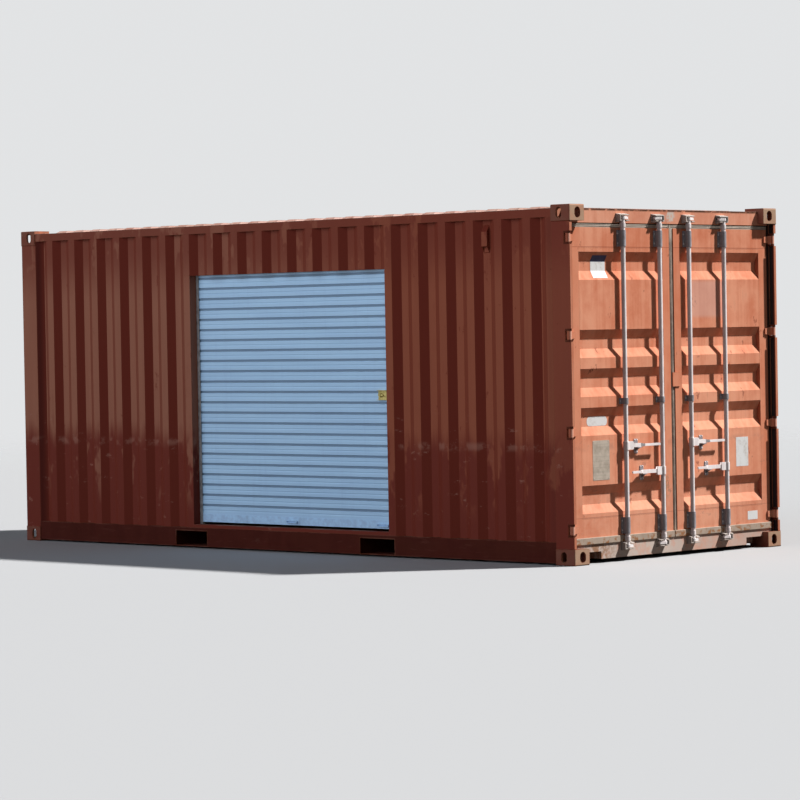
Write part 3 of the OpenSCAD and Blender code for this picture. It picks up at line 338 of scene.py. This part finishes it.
# Painted shade: the walls are darkened in the corners beside the posts
def wall_corner_shade(at, colour):
    corner = abs(at.axis(0)).rise(*corner_shade_from) * abs(at.axis(1)).rise(*corner_shade_depth)
    return (corner * 0.6).mix(colour, corner_shade_colour)


# Painted shade: the parts of each rear post set deep behind its door-end face, towards the middle or facing
# inwards, are painted nearly black
def post_hollow_shading(at, colour):
    deep = at.axis(0).rise(post_front - 0.012, post_front - 0.03) * at.axis(0).rise(*post_hollow_x)
    inward = (at.axis(1) * at.node("TexCoord", out=1).axis(1)).rise(-0.3, -0.6)
    hollow = abs(at.axis(1)).rise(*post_hollow_y).larger(inward)
    return (deep * hollow * 0.94).mix(colour, post_hollow_shade)


side_paint = old_paint("side_paint", bleached_and_sunlit=0.0, rust=0.3)
finish(side_paint, "front_corner_posts", "front_top_rail", "vents")
finish(old_paint("wall_paint", bleached_and_sunlit=0.0, rust=0.3, marks=wall_corner_shade),
       "side_wall_front_part", "side_wall_rear_part", "side_wall_over_shutter", "far_side_wall", "front_wall")
finish(old_paint("top_rail_paint", bleached_and_sunlit=0.0, rust=0.3), "top_side_rails")
finish(old_paint("post_paint", bleached_and_sunlit=0.65, rust=0.3, faded=0.55, marks=post_hollow_shading), "rear_corner_posts")
finish(old_paint("jamb_paint", bleached_and_sunlit=0.0, rust=0.35, faded=1.1), "shutter_frame")

# Bottom rails and fork pockets: the lowest steel, dark with road film and scuffed by forks and chains, which
# also polish its edges; the pale edges are partly worn paint and partly painted highlight. The cross members
# under the floor carry the same film
rail_rust = (0.08, 0.016, 0.008)
rail_rub = (0.16, 0.05, 0.035)
rail_edge_highlight = (0.32, 0.13, 0.095)


def fork_marks(at, colour):
    rubbed = at.stretched((3, 3, 22)).noise(1.6, 5, 0.7).rise(0.58, 0.68)
    warm = at.stretched((1.1, 1.1, 3)).noise(1, 3).rise(0.5, 0.65)
    colour = (warm * 0.5).mix(colour, rail_rust)
    colour = (rubbed * 0.25).mix(colour, rail_rub)
    # Pale patches along the edges: partly worn paint, partly painted highlight
    polished_and_highlit = edge_wear(at, 0.01) * at.noise(4, 4).rise(0.45, 0.55)
    return (polished_and_highlit * 0.6).mix(colour, rail_edge_highlight)


finish(old_paint("rail_paint", bleached_and_sunlit=0.0, rust=0.5, film=1.0, faded=0.4, marks=fork_marks),
       "bottom_side_rails", "front_bottom_rail", "fork_pockets")
finish(old_paint("underbody_paint", bleached_and_sunlit=0.0, rust=0.8, film=1.0, faded=0.2), "cross_members")

# Floor: plywood boards laid across the cross members. Goods and pallets have worn them along the grain and
# left dark scuffs
ply_dark = (0.2, 0.115, 0.06)
ply_light = (0.38, 0.24, 0.14)
ply_scuff = (0.08, 0.06, 0.05)
ply, ply_shader, ply_point, _ = surface("timber")
grain = ply_point.stretched((3, 60, 60)).noise(1, 5, 0.6)
trodden = ply_point.noise(3, 5).rise(0.5, 0.75)
ply_colour = grain.rise(0.3, 0.7).mix(ply_dark, ply_light)
feed(ply_shader, {
    "Base Color": (trodden * 0.6).mix(ply_colour, ply_scuff),
    "Roughness": 0.6 + grain * 0.25,
    "Normal": grain.bump(0.001),
})
finish(ply, "floor_boards")

# Roof: one pressed sheet with ribs across it, welded to the top rails, and a plate beside each casting. Sun
# and rain have made its paint chalky, and dirt stands between the ribs
roof_red = (0.33, 0.13, 0.085)
roof_chalk = (0.52, 0.3, 0.235)
roof_dirt = (0.42, 0.33, 0.27)
roof, roof_shader, roof_point, _ = surface("roof_paint")
roof_broad = roof_point.noise(0.7, 3)
roof_patches = roof_point.noise(8, 5, 0.65)
ponds = (roof_broad * 0.6 + roof_patches * 0.4).rise(0.45, 0.65)
roof_colour = roof_patches.rise(0.3, 0.7).mix(roof_red, roof_chalk)
roof_colour = (ponds * 0.35).mix(roof_colour, roof_dirt)
roof_rust = (edge_wear(roof_point, 0.008) * roof_patches * 1.8).rise(0.6, 0.9)
feed(roof_shader, {
    "Base Color": roof_rust.mix(roof_colour, rust_dark),
    "Roughness": 0.6 + ponds * 0.3,
    "Normal": roof_patches.bump(0.002),
})
finish(roof, "roof_sheet", "roof_corner_plates")

# Roller shutter: a ribbed steel curtain with baked pale enamel, which runs in plated guides and ends in a
# bottom bar with two lift handles and a slide latch. The bottoms of its grooves are painted dark, as
# painted shade
enamel, enamel_shader, enamel_point, _ = surface("curtain_enamel")
enamel_deep = (0.4, 0.6, 0.84)
enamel_pale = (0.52, 0.77, 1.0)
groove_shade = (0.1, 0.16, 0.24)
groove_depth = (0.0022, 0.0055)
curtain_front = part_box("shutter_curtain")[0].y
faint = enamel_point.stretched((1.2, 1.2, 7)).noise(1, 4)
drips = enamel_point.stretched((26, 26, 1.4)).noise(1, 4)
# Painted shade: the bottoms of the grooves, set back from the curtain's front, are painted dark
groove_shade_mask = (enamel_point.axis(1) - curtain_front).rise(*groove_depth)
lower = enamel_point.axis(2).rise(0.9, 0.2) * faint
enamel_colour = (faint.rise(0.3, 0.75) * 0.35 + drips.rise(0.5, 0.8) * 0.25).mix(enamel_pale, enamel_deep)
enamel_colour = (lower * 0.4).mix(enamel_colour, enamel_deep)
enamel_colour = (groove_shade_mask * 0.8).mix(enamel_colour, groove_shade)
feed(enamel_shader, {
    "Base Color": enamel_colour,
    "Roughness": 0.34 + faint * 0.2,
    "Normal": enamel_point.stretched((1.5, 1.5, 9)).noise(1, 2).bump(0.002, 0.001),
})
finish(enamel, "shutter_curtain", "shutter_coil")


def zinc(name, bright, dull, rust=0.25, metal=0.55, shaded_side=0.0):
    """Plated steel: mottled and dull in patches, darkened on its -Y side as painted shade, with rust at its
    worst spots.
    """
    made, shader, at, facing = surface(name)
    # Painted shade: faces towards -Y are darkened, as much as the argument asks
    painted_shade_side = facing.axis(1).rise(-0.3, -0.85)
    mottle = at.noise(22, 4, 0.6)
    fine = at.noise(140, 3, 0.7)
    grime = at.stretched((3, 3, 1)).noise(2.2, 4, 0.6).rise(0.45, 0.7)
    colour = mottle.rise(0.35, 0.65).mix(bright, dull)
    colour = (grime * 0.3).larger(painted_shade_side * shaded_side).mix(colour, tuple(part * 0.4 for part in dull))
    bare = (mottle * 0.6 + fine * 0.5 + edge_wear(at, 0.004) * 0.08).rise(0.66, 0.76) * rust
    feed(shader, {
        "Base Color": bare.mix(colour, rust_light),
        "Roughness": 0.4 + mottle * 0.25 + grime * 0.15,
        "Metallic": metal - bare * metal,
        "Normal": (fine * 0.5 + mottle * 0.5).bump(0.0008, 0.001),
    })
    return made


galvanised = zinc("galvanised", (1.0, 0.93, 0.9), (0.92, 0.81, 0.79), metal=0.05, shaded_side=0.95)
finish(zinc("guide_zinc", (0.5, 0.5, 0.5), (0.32, 0.3, 0.29)), "shutter_guides")
finish(zinc("bar_enamel", (0.5, 0.75, 1.0), (0.42, 0.62, 0.86), rust=0.1, metal=0.05), "shutter_bottom_bar")
finish(zinc("yellow_zinc", (0.8, 0.66, 0.24), (0.52, 0.42, 0.14), metal=0.45), "shutter_latch")

# Doors: two welded steel frames with pressed panels, in the sun, hung on lugs that are welded to the posts.
# Knocks have left pale spots, the low parts are bleached, and one patch was painted over. The front faces of
# the hinge blades are painted paler, as painted highlight
blade_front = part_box("left_door_frame")[1].x
seam_heights = (2.286, 0.333)
stile_inner = 0.12
stile_outer = 1.03
patch_across = (0.19, 0.64)
patch_up = (1.77, 2.04)
knock_pale = (0.66, 0.48, 0.38)
low_bleach = (0.78, 0.43, 0.3)
patch_pink = (0.66, 0.39, 0.32)
blade_highlight = (0.9, 0.52, 0.4)
oily_stain = (0.2, 0.2, 0.12)


def door_marks(at, colour):
    across, height = at.axis(1), at.axis(2)
    rough = at.noise(30, 4, 0.65)
    knocks = at.stretched((9, 9, 9)).noise(2.2, 5, 0.7).rise(0.7, 0.76)
    colour = (knocks * 0.6).mix(colour, knock_pale)
    upper, lower = (height.band(seam - 0.003, seam + 0.003, 0.002) for seam in seam_heights)
    seams = upper.larger(lower)
    colour = (seams * 0.5).mix(colour, side_deep)
    stile = abs(across).rise(stile_outer, stile_outer + 0.04).larger(
        abs(across).rise(stile_inner, stile_inner - 0.03))
    colour = (stile * 0.35).mix(colour, sun_deep)
    colour = (height.rise(0.62, 0.5) * rough.rise(0.25, 0.6) * 0.2).mix(colour, low_bleach)
    outside = at.node("TexCoord", out=1).axis(0).rise(0.2, 0.5)
    patched = across.band(*patch_across, 0.01) * height.band(*patch_up, 0.02) * outside
    colour = (patched * 0.5).mix(colour, patch_pink)
    # Painted highlight: the front faces of the hinge blades are painted paler than the door
    lit_blade = at.axis(0).rise(blade_front - 0.006, blade_front - 0.003) * abs(across).rise(0.95, 1.0)
    colour = (lit_blade * 0.5).mix(colour, blade_highlight)
    stain = across.band(-0.12, -0.06, 0.02) * height.band(0.45, 0.62, 0.05) * rough.rise(0.4, 0.6)
    return (stain * 0.6).mix(colour, oily_stain)


door_paint = old_paint("door_paint", rust=0.45, marks=door_marks)
finish(door_paint, "left_door_frame", "left_door_panel", "right_door_frame", "right_door_panel")
# The hinge lugs take dark film all over as painted shade, for the notches in the posts where they sit
finish(old_paint("hinge_paint", bleached_and_sunlit=0.6, rust=1.0, film=0.9), "hinge_lugs")

# Header and sill: the cross beams over and under the doors, welded between the rear posts. Loads have scraped
# the middle of the header, rust has started along its top, and dust lies on the sill
scrape_across = (-0.05, 0.045)
scrape_up = (2.475, 2.55)
header_top = (2.543, 2.558)
header_pale = (0.8, 0.5, 0.38)
scraped_grey = (0.6, 0.58, 0.52)
sill_right = (0.57, 0.43, 0.36)
sill_left = (0.6, 0.53, 0.47)


def header_marks(at, colour):
    across, height = at.axis(1), at.axis(2)
    rough = at.noise(26, 4, 0.7)
    scraped = across.band(*scrape_across, 0.02) * height.band(*scrape_up, 0.012) * rough.rise(0.38, 0.55)
    colour = (rough * 0.35).mix(colour, header_pale)
    colour = (scraped * 0.8).mix(colour, scraped_grey)
    top = height.rise(*header_top)
    return (top * rough.rise(0.3, 0.5)).mix(colour, rust_dark)


finish(old_paint("header_paint", rust=0.7, marks=header_marks), "door_header")


def sill_marks(at, colour):
    across = at.axis(1)
    rough = at.noise(11, 5, 0.7)
    beige = rough.rise(0.34, 0.55)
    bared = across.rise(0.5, -0.3).mix(sill_right, sill_left)
    colour = (beige * 0.4 + 0.5).mix(colour, bared)
    rusty = across.rise(-0.55, -0.9) * at.noise(19, 5, 0.7).rise(0.42, 0.6)
    return (rusty * 0.8).mix(colour, rust_light)


finish(old_paint("sill_paint", rust=0.9, marks=sill_marks), "door_sill")

# Gaskets: a dusty rubber section round each door, with two soft lips towards the frame and a drip lip along
# its bottom edge. The sun has bleached the top, and rust water has run onto the bottom
rubber_dark = (0.22, 0.165, 0.13)
rubber_worn = (0.4, 0.32, 0.26)
rubber_dusty = (0.45, 0.34, 0.255)
rubber_pale = (0.6, 0.52, 0.43)
rubber, rubber_shader, rubber_point, _ = surface("gasket")
rubber_dirt = rubber_point.noise(14, 5, 0.65)
rubber_rust = rubber_point.axis(2).rise(0.2, 0.16) * rubber_point.noise(21, 4).rise(0.5, 0.62)
rubber_colour = rubber_dirt.rise(0.35, 0.7).mix(rubber_dark, rubber_worn)
rubber_dust = rubber_point.axis(2).rise(0.26, 0.2) * (rubber_dirt * 0.6 + 0.5)
rubber_colour = rubber_dust.mix(rubber_colour, rubber_dusty)
rubber_sunned = rubber_point.axis(2).rise(2.3, 2.38) * (rubber_dirt * 0.5 + 0.4)
rubber_colour = rubber_sunned.mix(rubber_colour, rubber_pale)
feed(rubber_shader, {
    "Base Color": rubber_rust.mix(rubber_colour, rust_light),
    "Roughness": 0.72 + rubber_dirt * 0.2,
    "Normal": rubber_dirt.bump(0.001),
})
finish(rubber, "left_door_gasket", "right_door_gasket")
lip_radius = 0.0035
drip_z = (0.14, 0.191)
drip_thick = 0.011
drip_round = 0.45


def tubes(name, paths, radius, closed=False):
    """A mesh of round beads along paths."""
    curve = bpy.data.curves.new(name, "CURVE")
    curve.dimensions = "3D"
    curve.bevel_depth = radius
    curve.bevel_resolution = 2
    for path in paths:
        line = curve.splines.new("POLY")
        line.points.add(len(path) - 1)
        for point, place in zip(line.points, path):
            point.co = (*place, 1)
        line.use_cyclic_u = closed
    drawn = bpy.data.objects.new(name, curve)
    mesh = bpy.data.meshes.new_from_object(drawn)
    bpy.data.objects.remove(drawn)
    mesh.shade_smooth()
    return mesh


def piece(name, mesh, material, body):
    """Makes an object of a mesh, which takes a material and rides on a body."""
    mesh.materials.append(material)
    made = bpy.data.objects.new(name, mesh)
    bpy.context.scene.collection.objects.link(made)
    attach(made, body)
    return made


for side in ("left_door", "right_door"):
    low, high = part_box(side + "_gasket")
    front = high.x
    rings = [
        [(front, low.y + inwards, low.z + inwards), (front, high.y - inwards, low.z + inwards),
         (front, high.y - inwards, high.z - inwards), (front, low.y + inwards, high.z - inwards)]
        for inwards in (lip_radius, 4 * lip_radius)
    ]
    lips = tubes(side + "_gasket_lips", rings, lip_radius, closed=True)
    piece(side + "_gasket_lips", lips, rubber, side)
    panel_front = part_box(side + "_panel")[1].x
    middle = (panel_front + drip_thick / 2, (low.y + high.y) / 2, sum(drip_z) / 2)
    form = bmesh.new()
    bmesh.ops.create_cube(form, size=1)
    bmesh.ops.scale(form, vec=(drip_thick, high.y - low.y, drip_z[1] - drip_z[0]), verts=form.verts)
    bmesh.ops.translate(form, vec=middle, verts=form.verts)
    bmesh.ops.bevel(form, geom=form.edges[:], offset=drip_thick * drip_round, segments=3, profile=0.5,
                    material=-1, affect="EDGES")
    drip_mesh = bpy.data.meshes.new(side + "_drip_lip")
    form.to_mesh(drip_mesh)
    form.free()
    piece(side + "_drip_lip", drip_mesh, rubber, side)

# Locking gear: galvanised bars in strap bearings, with forged cams, keepers and drop handles. Every strap
# and every handle's seat is held to the door by domed rivets
# The keepers and the bearing straps get darker copies of the plated steel: partly dirt, partly painted shade
finish(zinc("keeper_zinc_shaded", (0.74, 0.64, 0.57), (0.4, 0.34, 0.3), rust=0.5, metal=0.05, shaded_side=0.9),
       "bar_keepers")
finish(zinc("bracket_zinc_shaded", (0.42, 0.4, 0.42), (0.28, 0.26, 0.27), metal=0.15, shaded_side=0.8),
       "left_door_brackets", "right_door_brackets")
for number in range(1, 5):
    finish(galvanised, f"locking_bar_{number}", f"handle_{number}")
rivet_radius = 0.0065
rivet_height = 0.004
rivet_taper = 0.55
flange_out = 0.03
strap_thick = 0.005
seat_thick = 0.004
bar_places = {"left_door": (-0.592, -0.172), "right_door": (0.172, 0.592)}
seat_places = {
    "left_door": ((-0.45, 0.833), (-0.388, 0.636)),
    "right_door": ((0.314, 0.833), (0.376, 0.636)),
}
seat_across = 0.013
seat_up = 0.044
strap_heights = (0.225, 0.295, 1.1665, 2.315, 2.385)
door_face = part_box("left_door_panel")[1].x
turned_out = Matrix.Rotation(math.pi / 2, 4, "Y")
for side, bars in bar_places.items():
    places = [(door_face + strap_thick, bar + sign * flange_out, height)
              for bar in bars for sign in (-1, 1) for height in strap_heights]
    places += [(door_face + seat_thick, seat_y + sign * seat_across, seat_z + end * seat_up)
               for seat_y, seat_z in seat_places[side] for sign in (-1, 1) for end in (-1, 1)]
    heads = bmesh.new()
    for place in places:
        at_place = Matrix.Translation((place[0] + rivet_height / 2, *place[1:])) @ turned_out
        bmesh.ops.create_cone(heads, cap_ends=True, segments=14, radius1=rivet_radius,
                              radius2=rivet_radius * rivet_taper, depth=rivet_height, matrix=at_place)
    heads_mesh = bpy.data.meshes.new(side + "_rivets")
    heads.to_mesh(heads_mesh)
    heads.free()
    piece(side + "_rivets", heads_mesh, galvanised, side)

# Labels: blank vinyl stuck to the doors, yellowed and dirty. The top one is half blue, and it bends over both
# slopes of the top recess. Its blue part lies over the upper slope, where the recess casts its shadow, and
# its dark navy is partly blue print and partly painted shadow
vinyl_white = (0.76, 0.75, 0.73)
vinyl_yellowed = (0.55, 0.5, 0.45)
blue_shadowed = (0.02, 0.03, 0.1)
blue_faded = (0.05, 0.065, 0.14)
vinyl, vinyl_shader, vinyl_point, _ = surface("label_vinyl")
vinyl_dirt = vinyl_point.noise(16, 5, 0.65)
vinyl_colour = vinyl_dirt.rise(0.45, 0.75).mix(vinyl_white, vinyl_yellowed)
feed(vinyl_shader, {"Base Color": vinyl_colour, "Roughness": 0.4 + vinyl_dirt * 0.3})
# The top label's blue: navy print, darkened further as painted shadow
blue, blue_shader, blue_point, _ = surface("label_blue_shadowed")
blue_wear = blue_point.noise(16, 5, 0.65).rise(0.45, 0.75)
feed(blue_shader, {"Base Color": blue_wear.mix(blue_shadowed, blue_faded), "Roughness": 0.42})
label_thick = 0.0008
recess_depth = 0.036
recess_floor = door_face - recess_depth


def sheet_mesh(form, name, thick):
    """Gives the faces in form a thickness towards +X, and makes a mesh of them."""
    raised = bmesh.ops.extrude_face_region(form, geom=form.faces[:])
    bmesh.ops.translate(form, vec=(thick, 0, 0),
                        verts=[part for part in raised["geom"] if isinstance(part, bmesh.types.BMVert)])
    bmesh.ops.recalc_face_normals(form, faces=form.faces)
    mesh = bpy.data.meshes.new(name)
    form.to_mesh(mesh)
    form.free()
    return mesh


def rounded_sheet(name, x, y, z, radius, thick):
    """A flat sheet with round corners that faces +X, between two places across and two heights."""
    form = bmesh.new()
    corners = [(y[1] - radius, z[1] - radius), (y[0] + radius, z[1] - radius),
               (y[0] + radius, z[0] + radius), (y[1] - radius, z[0] + radius)]
    rim = []
    arc_steps = 6
    for quarter, (centre_y, centre_z) in enumerate(corners):
        for step in range(arc_steps + 1):
            turn = (quarter + step / arc_steps) * math.pi / 2
            place = (x, centre_y + radius * math.cos(turn), centre_z + radius * math.sin(turn))
            rim.append(form.verts.new(place))
    form.faces.new(rim)
    return sheet_mesh(form, name, thick)


def bent_sheet(name, y, path, thick):
    """A sheet across y that follows a path of X and Z."""
    form = bmesh.new()
    rows = [[form.verts.new((x, across, z)) for across in y] for x, z in path]
    for lower_row, upper_row in zip(rows, rows[1:]):
        form.faces.new((lower_row[0], lower_row[1], upper_row[1], upper_row[0]))
    return sheet_mesh(form, name, thick)


for name, face, label_y, label_z, corner, door in (
    ("label_recess", recess_floor, (-0.955, -0.728), (0.992, 1.06), 0.03, "left_door"),
    ("label_right", door_face, (0.746, 0.895), (0.632, 0.854), 0.004, "right_door"),
    ("label_low", door_face, (0.878, 1.0), (0.22, 0.286), 0.004, "right_door"),
):
    sheet = rounded_sheet(name, face, label_y, label_z, corner, label_thick)
    piece(name, sheet, vinyl, door)
recess_top = 2.251
recess_height = 0.202
slope_height = 0.065
slope = recess_depth / slope_height
lower_fold = recess_top - recess_height + slope_height
upper_fold = recess_top - slope_height
top_label_y = (-0.888, -0.726)
label_bottom, label_joint, label_top = (2.062, 2.18, 2.226)
white_path = [(recess_floor + slope * (lower_fold - label_bottom), label_bottom),
              (recess_floor, lower_fold), (recess_floor, label_joint)]
blue_path = [(recess_floor, label_joint), (recess_floor, upper_fold),
             (recess_floor + slope * (label_top - upper_fold), label_top)]
piece("label_top_white", bent_sheet("label_top_white", top_label_y, white_path, 2 * label_thick), vinyl,
      "left_door")
piece("label_top_blue_shadowed", bent_sheet("label_top_blue_shadowed", top_label_y, blue_path, 2 * label_thick), blue,
      "left_door")

# Data plate: a blank sheet of bare aluminium, dull and stained, with faint pressed lines. Six rivets hold it
# to the door
plate_bright = (0.57, 0.48, 0.39)
plate_dull = (0.39, 0.32, 0.25)
plate_line = (0.25, 0.22, 0.18)
plate_metal, plate_shader, plate_point, _ = surface("plate_metal")
plate_stain = plate_point.noise(13, 5, 0.65)
plate_lines = plate_point.stretched((1, 1, 60)).noise(1, 2)
plate_colour = plate_stain.rise(0.35, 0.7).mix(plate_bright, plate_dull)
feed(plate_shader, {
    "Base Color": (plate_lines.rise(0.5, 0.6) * 0.2).mix(plate_colour, plate_line),
    "Roughness": 0.45 + plate_stain * 0.25,
    "Metallic": 0.35,
})
plate_y = (-0.935, -0.748)
plate_z = (0.6, 0.888)
plate_thick = 0.0015
piece("data_plate", rounded_sheet("data_plate", door_face, plate_y, plate_z, 0.008, plate_thick),
      plate_metal, "left_door")
plate_margin = 0.012
plate_rivet = 0.002
rivets = bmesh.new()
for across in (plate_y[0] + plate_margin, plate_y[1] - plate_margin):
    for height in (plate_z[0] + plate_margin, sum(plate_z) / 2, plate_z[1] - plate_margin):
        front = door_face + plate_thick + plate_rivet / 2
        at_place = Matrix.Translation((front, across, height)) @ turned_out
        bmesh.ops.create_cone(rivets, cap_ends=True, segments=12, radius1=2 * plate_rivet,
                              radius2=plate_rivet, depth=plate_rivet, matrix=at_place)
rivets_mesh = bpy.data.meshes.new("data_plate_rivets")
rivets.to_mesh(rivets_mesh)
rivets.free()
piece("data_plate_rivets", rivets_mesh, plate_metal, "left_door")

# Welds: beads where the posts stand on the castings, round their outer corners. The same old paint that
# covers the posts covers them
weld_radius = 0.004
weld_along = 0.17
weld_across = 0.025
weld_heights = (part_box("bottom_corner_castings")[1].z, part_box("top_corner_castings")[0].z)
weld_paths = []
post_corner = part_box("rear_corner_posts")[1]
for height in weld_heights:
    for x_sign in (-1, 1):
        for y_sign in (-1, 1):
            corner_x, corner_y = x_sign * post_corner.x, y_sign * post_corner.y
            weld_paths.append([(corner_x - x_sign * weld_along, corner_y, height),
                               (corner_x, corner_y, height),
                               (corner_x, corner_y - y_sign * weld_across, height)])
beads = tubes("casting_welds", weld_paths, weld_radius)
piece("casting_welds", beads, side_paint, "container")
